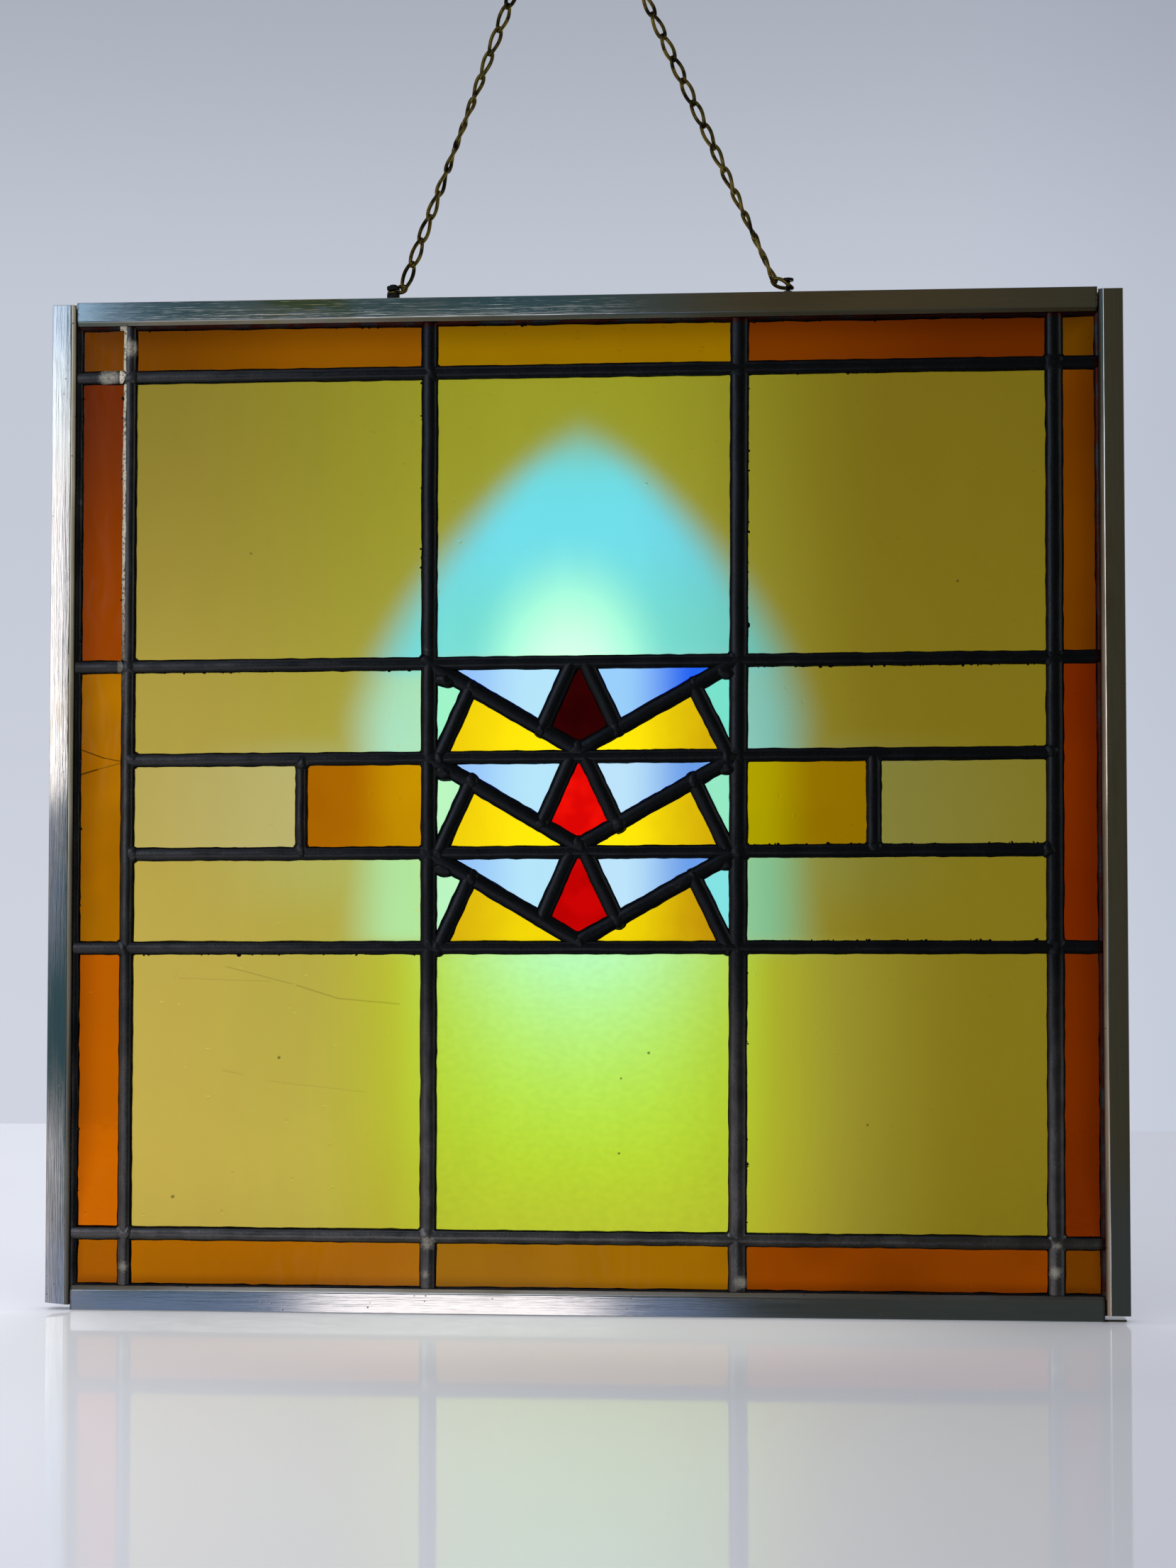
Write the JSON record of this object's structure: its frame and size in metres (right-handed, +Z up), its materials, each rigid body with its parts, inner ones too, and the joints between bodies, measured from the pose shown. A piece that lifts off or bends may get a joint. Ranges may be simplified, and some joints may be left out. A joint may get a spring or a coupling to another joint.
{
  "type": "stained glass window",
  "caption": "Square leaded glass panel in a metal channel frame, with a border of strips and a middle band of chevrons, hung on a light brass chain.",
  "frame": {"origin": "the top of the chain, where the panel hangs from a hook or nail: the middle of the level top link", "axes": "+Z up, +X to the right along the panel seen from its front, -Y out of the panel's front face"},
  "size_m": [0.508, 0.01, 0.6915],
  "materials": {
    "channel": "bare zinc-grey channel, brushed along its length, stained and lightly scratched",
    "lead": "lead came with a dark patina, duller and paler at its soldered joints",
    "chain": "tarnished brass wire with bright worn spots",
    "stud": "dark soldered stud, dull",
    "glass_olive": "clear olive-gold glass, smooth, with seeds and faint ripple",
    "glass_amber": "clear amber glass, smooth",
    "glass_orange": "clear orange-brown glass, smooth",
    "glass_brown": "clear brown glass, smooth",
    "glass_blue": "pale blue rippled glass",
    "glass_yellow": "bright yellow glass, smooth",
    "glass_red": "deep red glass, smooth",
    "glass_maroon": "very dark red glass, smooth",
    "glass_mint": "pale mint-green glass, lightly rippled"
  },
  "bodies": {
    "root": {"came_lattice": "lead", "chain_left": "chain", "chain_right": "chain", "hanger_stud_left": "stud", "hanger_stud_right": "stud", "pane_band_left_1": "glass_olive", "pane_band_left_2_amber": "glass_amber", "pane_band_left_2_outer": "glass_olive", "pane_band_left_3": "glass_olive", "pane_band_right_1": "glass_olive", "pane_band_right_2_amber": "glass_amber", "pane_band_right_2_outer": "glass_olive", "pane_band_right_3": "glass_olive", "pane_blue_left_1": "glass_blue", "pane_blue_left_2": "glass_blue", "pane_blue_left_3": "glass_blue", "pane_blue_right_1": "glass_blue", "pane_blue_right_2": "glass_blue", "pane_blue_right_3": "glass_blue", "pane_bottom_centre": "glass_amber", "pane_bottom_left": "glass_amber", "pane_bottom_right": "glass_orange", "pane_corner_bottom_left": "glass_amber", "pane_corner_bottom_right": "glass_brown", "pane_corner_top_left": "glass_brown", "pane_corner_top_right": "glass_brown", "pane_kite_1": "glass_maroon", "pane_kite_2": "glass_red", "pane_kite_3": "glass_red", "pane_left_lower": "glass_orange", "pane_left_middle": "glass_amber", "pane_left_upper": "glass_orange", "pane_main_lower_centre": "glass_olive", "pane_main_lower_left": "glass_olive", "pane_main_lower_right": "glass_olive", "pane_main_upper_centre": "glass_olive", "pane_main_upper_left": "glass_olive", "pane_main_upper_right": "glass_olive", "pane_mint_left_1": "glass_mint", "pane_mint_left_2": "glass_mint", "pane_mint_left_3": "glass_mint", "pane_mint_right_1": "glass_mint", "pane_mint_right_2": "glass_mint", "pane_mint_right_3": "glass_mint", "pane_right_lower": "glass_orange", "pane_right_middle": "glass_orange", "pane_right_upper": "glass_orange", "pane_top_centre": "glass_amber", "pane_top_left": "glass_amber", "pane_top_right": "glass_orange", "pane_yellow_left_1": "glass_yellow", "pane_yellow_left_2": "glass_yellow", "pane_yellow_left_3": "glass_yellow", "pane_yellow_right_1": "glass_yellow", "pane_yellow_right_2": "glass_yellow", "pane_yellow_right_3": "glass_yellow", "rail_bottom": "channel", "rail_top": "channel", "stile_left": "channel", "stile_right": "channel"}
  },
  "joints": []
}
